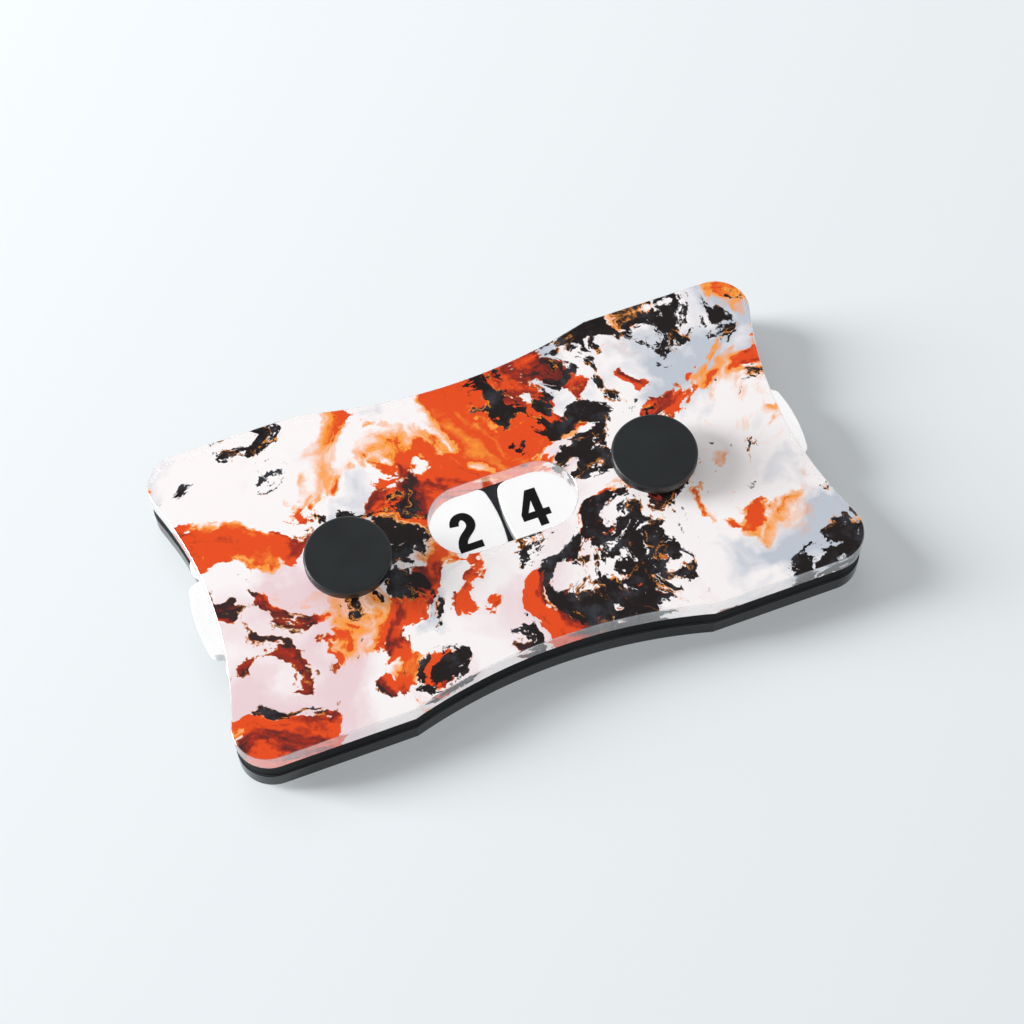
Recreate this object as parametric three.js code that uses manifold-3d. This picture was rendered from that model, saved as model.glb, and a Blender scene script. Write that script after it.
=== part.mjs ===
// Life counter with two number dials, in millimetres, +Z up. A clear face plate, a black
// middle layer in two pieces and a black back plate are stacked flat, and two white lobed
// dials turn in the middle layer on snap rivets, whose lower heads the counter stands on.
// The origin is under the middle of the part, at the level it stands on, and +X runs along
// its length. Dial digits show through the window in the face plate.

import * as THREE from 'three';
import { mergeVertices } from 'three/addons/utils/BufferGeometryUtils.js';
import Module from 'manifold-3d';

const wasm = await Module();
wasm.setup();

// Dials
const DIAL_RADIUS = 23.3; // over the lobes
const DIAL_THICK = 2;
const DIAL_GAP = 0.7; // between the rims of the two dials
const DIAL_SHOW = 2.95; // how far a dial stands out of the plate's hollow end
const LOBE_COUNT = 10; // one lobe for each digit
const NOTCH_DEPTH = 1.6;
const NOTCH_RADIUS = 0.9; // rounding at the bottom of a notch
const LOBE_CORNER_RADIUS = 1.5; // rounding where a lobe turns into a notch
const LEFT_DIAL_TURN = THREE.MathUtils.degToRad(0);
const RIGHT_DIAL_TURN = THREE.MathUtils.degToRad(0.6);

// Plates
const FACE_THICK = 3;
const BACK_THICK = 3;
const CORNER_RADIUS = 5.1;
const END_HOLLOW_RADIUS = 59; // concave short ends
const SIDE_HOLLOW_LENGTH = 45.2; // concave middle of the long sides, kink to kink
const SIDE_HOLLOW_DEPTH = 3.2;
const WINDOW_LENGTH = 22.4;
const WINDOW_WIDTH = 11.2;

// Middle layer
const POCKET_CLEARANCE = 0.45; // between a dial's lobes and the spacer round them
const RIM_WALL = 1.85; // plate beyond the pocket, beside a dial
const SPACER_INSET = 0.2; // the middle layer's edge lies this far inside the plates' edge
const WEB_TIP_WIDTH = 2.4; // blunt end of the web between the two pockets

// Washers above and below each dial
const WASHER_RADIUS = 5.4;
const UPPER_WASHER_THICK = 0.5;
const LOWER_WASHER_THICK = 0.25;
const RUNNING_GAP = 0.125; // on each face of a dial

// Two-piece snap rivets
const HEAD_RADIUS = 6.35;
const HEAD_THICK = 1.5;
const HEAD_EDGE_RADIUS = 0.4;
const SHANK_RADIUS = 1.3; // of the plug's four prongs
const BARB_OVERHANG = 0.4; // how far the barbs reach past the shank
const BARB_LENGTH = 1.5;
const BARB_FLAT_LENGTH = 0.35; // the stretch of full width, before the lead-in taper
const BARB_TIP_TAPER = 0.65; // how much narrower the tip is than the barb
const SLOT_WIDTH = 0.7; // the cross slot that lets the prongs spring in
const SLOT_FOOT = 0.6; // solid shank left under the slot
const CATCH_LENGTH = 1.9; // the narrow mouth that the barbs snap behind
const CATCH_RAMP = 0.35; // slope from the catch up to the full bore
const PLUG_FIT = 0.25; // between plug and barrel
const BARREL_WALL = 1.05;
const BARREL_CHAMFER = 0.3;
const BARREL_END_GAP = 0.3; // from the barrel's mouth to the plug's head
const BORE_ROOM = 0.8; // free bore past the plug's tip
const BARREL_FIT = 0.2; // between barrel and the plates' or washers' holes
const DIAL_FIT = 0.3; // between barrel and dial

// Facets in each kind of round stretch
const END_STEPS = 12;
const CORNER_STEPS = 14;
const SIDE_STEPS = 14;
const WINDOW_STEPS = 20;
const LOBE_STEPS = 6;
const LOBE_CORNER_STEPS = 4;
const NOTCH_STEPS = 6;
const POCKET_STEPS = 160;
const HOLE_STEPS = 40;
const RIVET_STEPS = 48;
const HEAD_EDGE_STEPS = 4;
const CUT_OVERRUN = 1;

// Worked out from the sizes above
const DIAL_X = DIAL_RADIUS + DIAL_GAP / 2;
const POCKET_RADIUS = DIAL_RADIUS + POCKET_CLEARANCE;
const HALF_WIDTH = POCKET_RADIUS + RIM_WALL;
const END_X = DIAL_X + DIAL_RADIUS - DIAL_SHOW;
const SPACER_THICK = LOWER_WASHER_THICK + UPPER_WASHER_THICK + DIAL_THICK + 2 * RUNNING_GAP;
const BARB_RADIUS = SHANK_RADIUS + BARB_OVERHANG;
const BORE_RADIUS = BARB_RADIUS + PLUG_FIT;
const CATCH_RADIUS = SHANK_RADIUS + PLUG_FIT;
const BARREL_RADIUS = BORE_RADIUS + BARREL_WALL;
const BARREL_HOLE_RADIUS = BARREL_RADIUS + BARREL_FIT;
const DIAL_HOLE_RADIUS = BARREL_RADIUS + DIAL_FIT;

// Levels, from the rest plane up
const BACK_Z = HEAD_THICK;
const SPACER_Z = BACK_Z + BACK_THICK;
const DIAL_Z = SPACER_Z + LOWER_WASHER_THICK + RUNNING_GAP;
const FACE_Z = SPACER_Z + SPACER_THICK;
const UPPER_WASHER_Z = FACE_Z - UPPER_WASHER_THICK;
const CAP_Z = FACE_Z + FACE_THICK;

const CLEAR_ACRYLIC = { color: 0xe9e6e8, roughness: 0.12, metalness: 0 };
const BLACK_ACRYLIC = { color: 0x1e1f21, roughness: 0.25, metalness: 0 };
const WHITE_ACRYLIC = { color: 0xf2f3f4, roughness: 0.3, metalness: 0 };
const DARK_NYLON = { color: 0x2d3033, roughness: 0.6, metalness: 0 };
const NATURAL_NYLON = { color: 0xdcd9cf, roughness: 0.5, metalness: 0 };

// Points along an arc from angle a0 to a1, both ends included.
function arc(centreX, centreY, radius, a0, a1, steps) {
  const points = [];
  for (let i = 0; i <= steps; i += 1) {
    const a = a0 + ((a1 - a0) * i) / steps;
    points.push(new THREE.Vector2(centreX + radius * Math.cos(a), centreY + radius * Math.sin(a)));
  }
  return points;
}

// A closed outline symmetric about both axes, from its first quadrant.
function mirrorQuadrant(quadrant) {
  const mirrored = quadrant.slice(0, -1).reverse().map((p) => new THREE.Vector2(-p.x, p.y));
  const upper = quadrant.concat(mirrored);
  const lower = upper.slice(1, -1).reverse().map((p) => new THREE.Vector2(p.x, -p.y));
  return upper.concat(lower);
}

// The plates' outline, or the same drawn in by an even inset: a hollow end, a round
// corner, a straight stretch and half of the hollow side make up each quadrant.
function plateOutline(inset) {
  const cornerY = HALF_WIDTH - CORNER_RADIUS;
  const endCentreX = END_X + END_HOLLOW_RADIUS;
  const tangentReach = END_HOLLOW_RADIUS + CORNER_RADIUS;
  const cornerX = endCentreX - Math.sqrt(tangentReach ** 2 - cornerY ** 2);
  const tangentAngle = Math.atan2(cornerY, endCentreX - cornerX);
  const halfHollow = SIDE_HOLLOW_LENGTH / 2;
  const sideRadius = (halfHollow ** 2 + SIDE_HOLLOW_DEPTH ** 2) / (2 * SIDE_HOLLOW_DEPTH);
  const sideCentreY = HALF_WIDTH - SIDE_HOLLOW_DEPTH + sideRadius;
  const kinkAngle = Math.asin((sideCentreY - HALF_WIDTH + inset) / (sideRadius + inset));
  return mirrorQuadrant([
    ...arc(endCentreX, 0, END_HOLLOW_RADIUS + inset, Math.PI, Math.PI - tangentAngle, END_STEPS),
    ...arc(cornerX, cornerY, CORNER_RADIUS - inset, -tangentAngle, Math.PI / 2, CORNER_STEPS).slice(1),
    ...arc(0, sideCentreY, sideRadius + inset, -kinkAngle, -Math.PI / 2, SIDE_STEPS),
  ]);
}

// One dial's outline: lobes on the outer circle, and round notches between them.
function dialOutline() {
  const notchReach = DIAL_RADIUS - NOTCH_DEPTH + NOTCH_RADIUS;
  const cornerReach = DIAL_RADIUS - LOBE_CORNER_RADIUS;
  const touch = NOTCH_RADIUS + LOBE_CORNER_RADIUS;
  const cosine = (notchReach ** 2 + cornerReach ** 2 - touch ** 2) / (2 * notchReach * cornerReach);
  const spread = Math.acos(cosine);
  const towards = (from, to) => Math.atan2(to.y - from.y, to.x - from.x);
  const polar = (reach, a) => new THREE.Vector2(reach * Math.cos(a), reach * Math.sin(a));
  const pitch = (2 * Math.PI) / LOBE_COUNT;
  const points = [];
  for (let i = 0; i < LOBE_COUNT; i += 1) {
    const middle = (i + 0.5) * pitch;
    const notch = polar(notchReach, middle);
    const before = polar(cornerReach, middle - spread);
    const after = polar(cornerReach, middle + spread);
    const turn = angleFrom(middle - spread, towards(before, notch));
    const dip = angleFrom(middle, towards(notch, before));
    points.push(
      ...arc(before.x, before.y, LOBE_CORNER_RADIUS, middle - spread, turn, LOBE_CORNER_STEPS),
      ...arc(notch.x, notch.y, NOTCH_RADIUS, dip, 2 * (middle + Math.PI) - dip, NOTCH_STEPS).slice(1, -1),
      ...arc(after.x, after.y, LOBE_CORNER_RADIUS, 2 * middle - turn, middle + spread, LOBE_CORNER_STEPS),
      ...arc(0, 0, DIAL_RADIUS, middle + spread, middle + pitch - spread, LOBE_STEPS).slice(1, -1),
    );
  }
  return points;
}

// The same direction as angle, within a whole turn above start.
function angleFrom(start, angle) {
  const turn = 2 * Math.PI;
  return start + ((((angle - start) % turn) + turn) % turn);
}

function circle(radius, steps) {
  return arc(0, 0, radius, 0, 2 * Math.PI, steps).slice(0, -1);
}

function shifted(points, x) {
  return points.map((p) => new THREE.Vector2(p.x + x, p.y));
}

// A flat sheet of an outline, cut through by the holes, lying on z = 0.
function sheet(outline, holes, thickness) {
  const shape = new THREE.Shape(outline);
  shape.holes = holes.map((points) => new THREE.Path(points));
  return new THREE.ExtrudeGeometry(shape, { depth: thickness, bevelEnabled: false });
}

// A turned piece from its profile of [radius, height] points, with its axis along Z.
function turned(profile, steps) {
  const points = profile.map(([radius, height]) => new THREE.Vector2(radius, height));
  return new THREE.LatheGeometry(points, steps).rotateX(Math.PI / 2);
}

// Closed triangles with shared corners, without the slivers that a turned axis leaves.
function weld(geometry) {
  const bare = new THREE.BufferGeometry();
  bare.setAttribute('position', geometry.getAttribute('position'));
  bare.setIndex(geometry.getIndex());
  const merged = mergeVertices(bare);
  const kept = [];
  const index = merged.getIndex();
  for (let i = 0; i < index.count; i += 3) {
    const [a, b, c] = [index.getX(i), index.getX(i + 1), index.getX(i + 2)];
    if (a !== b && b !== c && c !== a) {
      kept.push(a, b, c);
    }
  }
  merged.setIndex(kept);
  return merged;
}

function toSolid(geometry) {
  const welded = weld(geometry);
  const vertProperties = new Float32Array(welded.getAttribute('position').array);
  const triVerts = new Uint32Array(welded.getIndex().array);
  return new wasm.Manifold(new wasm.Mesh({ numProp: 3, vertProperties, triVerts }));
}

function toGeometry(solid) {
  const mesh = solid.getMesh();
  const geometry = new THREE.BufferGeometry();
  geometry.setAttribute('position', new THREE.BufferAttribute(mesh.vertProperties, mesh.numProp));
  geometry.setIndex(new THREE.BufferAttribute(mesh.triVerts, 1));
  return geometry;
}

function facePlate() {
  const windowRadius = WINDOW_WIDTH / 2;
  const windowX = WINDOW_LENGTH / 2 - windowRadius;
  const window = [
    ...arc(windowX, 0, windowRadius, -Math.PI / 2, Math.PI / 2, WINDOW_STEPS),
    ...arc(-windowX, 0, windowRadius, Math.PI / 2, (3 * Math.PI) / 2, WINDOW_STEPS),
  ];
  return sheet(plateOutline(0), [window, ...rivetHoles()], FACE_THICK);
}

function backPlate() {
  return sheet(plateOutline(0), rivetHoles(), BACK_THICK);
}

function rivetHoles() {
  return [-DIAL_X, DIAL_X].map((x) => shifted(circle(BARREL_HOLE_RADIUS, HOLE_STEPS), x));
}

// Half of the middle layer, on the side of +Y or -Y: the plates' outline, drawn in, less
// both dial pockets, with the web between the pockets cut off blunt.
function spacer(side) {
  let solid = toSolid(sheet(plateOutline(SPACER_INSET), [], SPACER_THICK));
  const cutDepth = SPACER_THICK + 2 * CUT_OVERRUN;
  for (const x of [-DIAL_X, DIAL_X]) {
    const pocket = sheet(shifted(circle(POCKET_RADIUS, POCKET_STEPS), x), [], cutDepth);
    solid = solid.subtract(toSolid(pocket.translate(0, 0, -CUT_OVERRUN)));
  }
  const tipY = Math.sqrt(POCKET_RADIUS ** 2 - (DIAL_X - WEB_TIP_WIDTH / 2) ** 2);
  const tipCut = new THREE.BoxGeometry(2 * WEB_TIP_WIDTH, 2 * tipY, cutDepth);
  solid = solid.subtract(toSolid(tipCut.translate(0, 0, SPACER_THICK / 2)));
  const reach = DIAL_X + POCKET_RADIUS + END_HOLLOW_RADIUS;
  const half = new THREE.BoxGeometry(2 * reach, reach, cutDepth);
  return toGeometry(solid.intersect(toSolid(half.translate(0, (side * reach) / 2, SPACER_THICK / 2))));
}

function dial() {
  return sheet(dialOutline(), [circle(DIAL_HOLE_RADIUS, HOLE_STEPS)], DIAL_THICK);
}

function washer(thickness) {
  return sheet(circle(WASHER_RADIUS, HOLE_STEPS), [circle(BARREL_HOLE_RADIUS, HOLE_STEPS)], thickness);
}

// Upper rivet half: a flat head on a hollow barrel, with a narrow catch at its mouth.
// Height 0 is the underside of the head, which rests on the face plate.
function rivetCap() {
  const mouth = BACK_Z + BARREL_END_GAP - CAP_Z;
  const catchTop = mouth + CATCH_LENGTH;
  const boreTop = catchTop + PLUG_FIT + BARB_LENGTH + BORE_ROOM;
  const edge = HEAD_EDGE_RADIUS;
  const roundEdge = arc(HEAD_RADIUS - edge, HEAD_THICK - edge, edge, 0, Math.PI / 2, HEAD_EDGE_STEPS);
  return turned(
    [
      [0, boreTop],
      [BORE_RADIUS, boreTop],
      [BORE_RADIUS, catchTop],
      [CATCH_RADIUS, catchTop - CATCH_RAMP],
      [CATCH_RADIUS, mouth + BARREL_CHAMFER],
      [CATCH_RADIUS + BARREL_CHAMFER, mouth],
      [BARREL_RADIUS - BARREL_CHAMFER, mouth],
      [BARREL_RADIUS, mouth + BARREL_CHAMFER],
      [BARREL_RADIUS, 0],
      [HEAD_RADIUS, 0],
      ...roundEdge.map((p) => [p.x, p.y]),
      [0, HEAD_THICK],
    ],
    RIVET_STEPS,
  );
}

// Lower rivet half: a head that the counter stands on, and a shank split by a cross slot
// into four barbed prongs. Height 0 is the rest plane.
function rivetPlug() {
  const barbFoot = BACK_Z + BARREL_END_GAP + CATCH_LENGTH + PLUG_FIT;
  const tip = barbFoot + BARB_LENGTH;
  const edge = HEAD_EDGE_RADIUS;
  const roundEdge = arc(HEAD_RADIUS - edge, edge, edge, -Math.PI / 2, 0, HEAD_EDGE_STEPS);
  const blank = turned(
    [
      [0, 0],
      ...roundEdge.map((p) => [p.x, p.y]),
      [HEAD_RADIUS, HEAD_THICK],
      [SHANK_RADIUS, HEAD_THICK],
      [SHANK_RADIUS, barbFoot],
      [BARB_RADIUS, barbFoot],
      [BARB_RADIUS, barbFoot + BARB_FLAT_LENGTH],
      [BARB_RADIUS - BARB_TIP_TAPER, tip],
      [0, tip],
    ],
    RIVET_STEPS,
  );
  const slotFloor = HEAD_THICK + SLOT_FOOT;
  const slotHeight = tip + CUT_OVERRUN - slotFloor;
  const slotLength = 2 * (BARB_RADIUS + CUT_OVERRUN);
  let solid = toSolid(blank);
  for (const turn of [0, Math.PI / 2]) {
    const slot = new THREE.BoxGeometry(slotLength, SLOT_WIDTH, slotHeight);
    solid = solid.subtract(toSolid(slot.rotateZ(turn).translate(0, 0, slotFloor + slotHeight / 2)));
  }
  return toGeometry(solid);
}

function addPiece(parent, name, geometry, finish, z) {
  const mesh = new THREE.Mesh(weld(geometry), new THREE.MeshStandardMaterial(finish));
  mesh.name = name;
  mesh.position.z = z;
  parent.add(mesh);
  return mesh;
}

const counter = new THREE.Group();

addPiece(counter, 'face_plate', facePlate(), CLEAR_ACRYLIC, FACE_Z);
addPiece(counter, 'rear_spacer', spacer(1), BLACK_ACRYLIC, SPACER_Z);
addPiece(counter, 'front_spacer', spacer(-1), BLACK_ACRYLIC, SPACER_Z);
addPiece(counter, 'back_plate', backPlate(), BLACK_ACRYLIC, BACK_Z);

for (const [side, x, turn] of [
  ['left', -DIAL_X, LEFT_DIAL_TURN],
  ['right', DIAL_X, RIGHT_DIAL_TURN],
]) {
  const pivot = new THREE.Group();
  pivot.position.x = x;
  counter.add(pivot);
  addPiece(pivot, `${side}_dial`, dial(), WHITE_ACRYLIC, DIAL_Z).rotation.z = turn;
  addPiece(pivot, `${side}_lower_washer`, washer(LOWER_WASHER_THICK), NATURAL_NYLON, SPACER_Z);
  addPiece(pivot, `${side}_upper_washer`, washer(UPPER_WASHER_THICK), NATURAL_NYLON, UPPER_WASHER_Z);
  addPiece(pivot, `${side}_rivet_cap`, rivetCap(), DARK_NYLON, CAP_Z);
  addPiece(pivot, `${side}_rivet_plug`, rivetPlug(), DARK_NYLON, 0);
}

export default counter;
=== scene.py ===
"""Looks of a life counter with two number dials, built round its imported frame.

Every piece is made in the frame's own place and size, in metres. Flat sheets take their
outlines from the frame's nodes, and their edges are eased here.
"""

import math

import bmesh
import bpy
from bpy.props import FloatProperty, FloatVectorProperty, IntProperty, PointerProperty
from mathutils import Matrix, Quaternion, Vector
from mathutils.geometry import delaunay_2d_cdt


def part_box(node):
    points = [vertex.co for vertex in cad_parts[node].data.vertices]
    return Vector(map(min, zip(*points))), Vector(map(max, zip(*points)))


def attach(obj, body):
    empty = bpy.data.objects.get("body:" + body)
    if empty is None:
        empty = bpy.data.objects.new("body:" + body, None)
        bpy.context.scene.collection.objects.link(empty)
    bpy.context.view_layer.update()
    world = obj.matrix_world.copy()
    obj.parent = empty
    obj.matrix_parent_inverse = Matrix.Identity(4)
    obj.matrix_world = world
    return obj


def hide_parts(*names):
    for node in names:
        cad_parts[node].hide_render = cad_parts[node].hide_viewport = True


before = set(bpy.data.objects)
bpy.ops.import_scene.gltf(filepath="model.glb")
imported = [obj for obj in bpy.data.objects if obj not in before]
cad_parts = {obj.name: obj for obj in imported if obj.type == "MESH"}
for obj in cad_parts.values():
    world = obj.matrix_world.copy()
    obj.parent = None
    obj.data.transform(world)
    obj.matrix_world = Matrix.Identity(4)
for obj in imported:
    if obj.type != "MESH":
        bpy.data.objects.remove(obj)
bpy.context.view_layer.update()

bl_info = {
    "name": "Life counter",
    "version": (1, 0, 0),
    "blender": (4, 5, 0),
    "location": "3D View > Sidebar > Counter",
    "description": "Builds the pieces of a two-dial life counter and its stage",
    "category": "Object",
}

MM = 0.001
WELD = 0.001 * MM
SIDES = ("left", "right")
DIGITS = 10
ACRYLIC_IOR = 1.49

WHITE = (1, 1, 1)
BLACK = (0, 0, 0)

# Slots of the Mix node in its colour form
MIX_A = 6
MIX_B = 7
MIX_COLOUR = 2

# Blender's triangulation: keep what lies inside the rings, and join points this near
CDT_INSIDE = 1
CDT_NEAR = WELD / 10


def length(name, text, millimetres):
    """A size that a user can change, given here in millimetres."""
    return FloatProperty(
        name=name, description=text, default=millimetres * MM, min=0, unit="LENGTH", precision=5
    )


def colour(name, text, rgb):
    return FloatVectorProperty(
        name=name, description=text, default=rgb, size=3, min=0, max=1, subtype="COLOR"
    )


def share(name, text, value, most=1.0):
    return FloatProperty(name=name, description=text, default=value, min=0, max=most)


def seed(name, text, spot):
    """A place in a noise pattern, which picks one of its many layouts."""
    return FloatVectorProperty(name=name, description=text, default=spot, size=3)


def angle(name, text, degrees):
    return FloatProperty(
        name=name, description=text, default=math.radians(degrees), subtype="ANGLE"
    )


class SheetSettings(bpy.types.PropertyGroup):
    """The clear face plate and the black sheets below it."""

    face_round: length("Face edge", "Rounding of the clear plate's edges", 0.15)
    black_round: length("Black edge", "Rounding of the black sheets' edges", 0.1)
    foot_round: length("Face foot", "Rounding of the clear plate's lower edges", 0.004)
    edge_mirror: share("Edge mirror", "How much the clear plate's cut edge mirrors", 0.31)
    mirror_colour: colour("Mirror", "Tint of what the cut edge mirrors", (0.9, 0.94, 0.97))
    back_colour: colour("Back", "Colour of the back plate's edge", (0.007, 0.008, 0.009))
    # The back plate's faces are coloured lighter than its edge: painted light in the shaded gap
    # between the dials
    painted_light_face_colour: colour("Back face", "Colour of the back plate's faces", (0.03, 0.032, 0.037))
    middle_colour: colour("Middle", "Colour of the middle layer", (0.006, 0.007, 0.008))


class PrintSettings(bpy.types.PropertyGroup):
    """The marbled print under the clear plate."""

    thick: length("Thickness", "Thickness of the printed layer", 0.04)
    margin: length("Margin", "How far the print stays inside the cut edge", 0.004)
    edge_round: length("Print edge", "Rounding of the printed layer's edges", 0.002)
    flow: length("Flow", "Size of the print's larger forms", 20)
    swirl: share("Swirl", "How far the larger forms are bent, in flow sizes", 2.4, 5.0)
    ripple: share("Ripple", "How far the smaller forms are bent, in flow sizes", 0.44, 5.0)
    ember_level: share("Orange level", "Higher values leave less orange", 0.53)
    stone_level: share("Charcoal level", "Higher values leave less charcoal", 0.575)
    cloud_seed: seed("Cloud place", "Moves the pale clouds", (3.1, 0.4, 0))
    tone_seed: seed("Tone place", "Moves the tones of the orange flows", (5.5, 1.5, 4))
    heat_seed: seed("Orange place", "Moves the orange flows", (7.3, 2.2, 1))
    stone_seed: seed("Charcoal place", "Moves the charcoal islands", (1.7, 9.4, 2))
    paper: colour("Paper", "Lightest ground", (0.99, 0.935, 0.935))
    blush: colour("Blush", "Pink clouds in the ground", (0.86, 0.655, 0.69))
    mist: colour("Mist", "Cool clouds in the ground", (0.55, 0.59, 0.665))
    orange: colour("Orange", "Main colour of the orange flows", (0.82, 0.072, 0.007))
    smoke: colour("Smoke", "Darkest parts of the orange flows", (0.03, 0.012, 0.012))
    rust: colour("Rust", "Darker parts of the orange flows", (0.36, 0.022, 0.008))
    glow: colour("Glow", "Brightest parts of the orange flows", (1.0, 0.34, 0.04))
    charcoal: colour("Charcoal", "Dark islands", (0.008, 0.0035, 0.0035))
    slate: colour("Slate", "Paler parts of the dark islands", (0.05, 0.055, 0.07))


class DialSettings(bpy.types.PropertyGroup):
    """The white dials and their digits."""

    edge_round: length("Dial edge", "Rounding of the dials' edges", 0.15)
    white: colour("White", "Colour of the dials", (0.985, 0.985, 0.99))
    ink: colour("Ink", "Colour of the digits", (0.0085, 0.008, 0.0085))
    ink_thick: length("Ink", "How far the digits stand above a dial", 0.03)
    digit_height: length("Digit height", "Height of a digit", 6.4)
    digit_width: length("Digit width", "Width of a digit", 4.07)
    two_share: share("Width of 2", "Width of the digit 2 as a share of the others", 0.93)
    four_share: share("Width of 4", "Width of the digit 4 as a share of the others", 1.06, 2.0)
    stem: length("Stems", "Thickness of a digit's upright strokes", 1.38)
    bar: length("Bars", "Thickness of a digit's level strokes", 1.15)
    left_ring: length("Left ring", "From the left dial's axis to its digits", 17.7)
    right_ring: length("Right ring", "From the right dial's axis to its digits", 18.85)
    right_turn: angle("Right turn", "Turn of the right dial's digits about its axis", -0.4)


class RivetSettings(bpy.types.PropertyGroup):
    """The dark snap rivets and the pale washers."""

    dark: colour("Rivets", "Colour of the rivets", (0.0115, 0.0135, 0.015))
    pale: colour("Washers", "Colour of the washers", (0.72, 0.7, 0.62))
    grain: length("Grain", "Size of the moulded grain", 0.22)
    turn_steps: IntProperty(
        name="Facets", description="Facets round a rivet", default=96, min=24, max=256
    )
    head_thick: length("Head", "Thickness of the rivets' heads", 1.5)
    head_round: length("Head edge", "Rounding of the heads' outer edge", 0.4)
    seat_round: length("Seat edge", "Rounding of the heads' edge on the sheet", 0.08)
    barrel: length("Barrel", "Radius of the cap's barrel", 3.0)
    chamfer: length("Chamfer", "Slope at the barrel's mouth", 0.3)
    bore: length("Bore", "Radius of the barrel's bore", 1.95)
    bore_length: length("Bore length", "Bore above the catch", 2.55)
    catch: length("Catch", "Radius of the narrow mouth", 1.55)
    catch_length: length("Catch length", "Length of the narrow mouth", 1.9)
    catch_ramp: length("Catch ramp", "Slope from the catch to the bore", 0.35)
    shank: length("Shank", "Radius of the plug's prongs", 1.3)
    barb: length("Barb", "Radius of the plug's barbs", 1.7)
    barb_foot: length("Barb foot", "Height of the barbs above the table", 3.95)
    barb_flat: length("Barb flat", "Full-width stretch of the barbs", 0.35)
    barb_length: length("Barb length", "Length of the barbs", 1.5)
    barb_taper: length("Barb taper", "How much narrower the plug's tip is", 0.65)
    slot_width: length("Slot", "Width of the cross slot between the prongs", 0.7)
    slot_foot: length("Slot foot", "Solid shank under the slot", 0.6)
    washer_bore: length("Washer bore", "Radius of the washers' holes", 3.2)
    washer_round: length("Washer edge", "Rounding of the washers' edges", 0.06)


class StageSettings(bpy.types.PropertyGroup):
    """Camera, floor and light."""

    lens: FloatProperty(name="Lens", description="Focal length in mm", default=79.95)
    roll: angle("Roll", "Turn of the camera about its view", -1.62)
    floor_colour: colour("Floor", "Colour of the floor", (0.838, 0.881, 0.905))
    far_colour: colour("Backdrop", "Colour seen beyond the floor", (0.88, 0.925, 0.95))
    fade_start: length("Fade start", "Where the floor starts to fade into the backdrop", 250)
    fade_end: length("Fade end", "Where the floor has become the backdrop", 800)
    ceiling_colour: colour("Ceiling", "Colour that shows in gloss from above", (0.21, 0.215, 0.22))
    ceiling_low: share("Ceiling start", "Rise at which the ceiling starts to show", 0.45)
    ceiling_high: share("Ceiling full", "Rise from which only the ceiling shows", 0.8)
    fill: share("Fill", "Strength of the light from above", 0.505, 2.0)
    side_colour: colour("Side light", "Colour of the light from the sides", (0.31, 0.31, 0.31))
    key_power: FloatProperty(
        name="Key", description="Power of the main lamp", default=51.6, unit="POWER"
    )
    key_width: length("Key width", "Width of the main lamp", 830)
    key_height: length("Key height", "Height of the main lamp", 874)
    key_heading: angle("Key heading", "Where the main lamp stands, from +X towards +Y", 153.5)
    key_rise: angle("Key rise", "How high the main lamp stands", 22.3)
    key_turn: angle("Key turn", "How far the lamp is turned away from the counter", 50)
    rear_power: FloatProperty(
        name="Rear lamp", description="Power of the lamp behind", default=5.75, unit="POWER"
    )
    rear_width: length("Rear width", "Width and height of the lamp behind", 1400)
    rear_heading: angle("Rear heading", "Where the lamp behind stands, from +X towards +Y", 100)
    rear_rise: angle("Rear rise", "How high the lamp behind stands", 57)
    lamp_reach: length("Lamp distance", "Distance of both lamps", 1700)


class CounterSettings(bpy.types.PropertyGroup):
    """All settings of the life counter."""

    sheets: PointerProperty(type=SheetSettings)
    face_print: PointerProperty(type=PrintSettings)
    dials: PointerProperty(type=DialSettings)
    rivets: PointerProperty(type=RivetSettings)
    stage: PointerProperty(type=StageSettings)


# Materials


class Link:
    """An output of a material's node, on which arithmetic adds Math nodes."""

    def __init__(self, graph, socket):
        self.graph = graph
        self.socket = socket

    def math(self, operation, *terms):
        return self.graph.add("ShaderNodeMath", {"operation": operation}, dict(enumerate(terms)))

    def __add__(self, other):
        return self.math("ADD", self, other)

    __radd__ = __add__

    def __sub__(self, other):
        return self.math("SUBTRACT", self, other)

    def __rsub__(self, other):
        return self.math("SUBTRACT", other, self)

    def __mul__(self, other):
        return self.math("MULTIPLY", self, other)

    __rmul__ = __mul__

    def __abs__(self):
        return self.math("ABSOLUTE", self)

    def most(self, other):
        return self.math("MAXIMUM", self, other)

    def between(self, low, high):
        """0 below low, 1 above high, and smooth between them; high may be the lower one."""
        settings = {"interpolation_type": "SMOOTHSTEP"}
        return self.graph.add("ShaderNodeMapRange", settings, {"Value": self, 1: low, 2: high})


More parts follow.
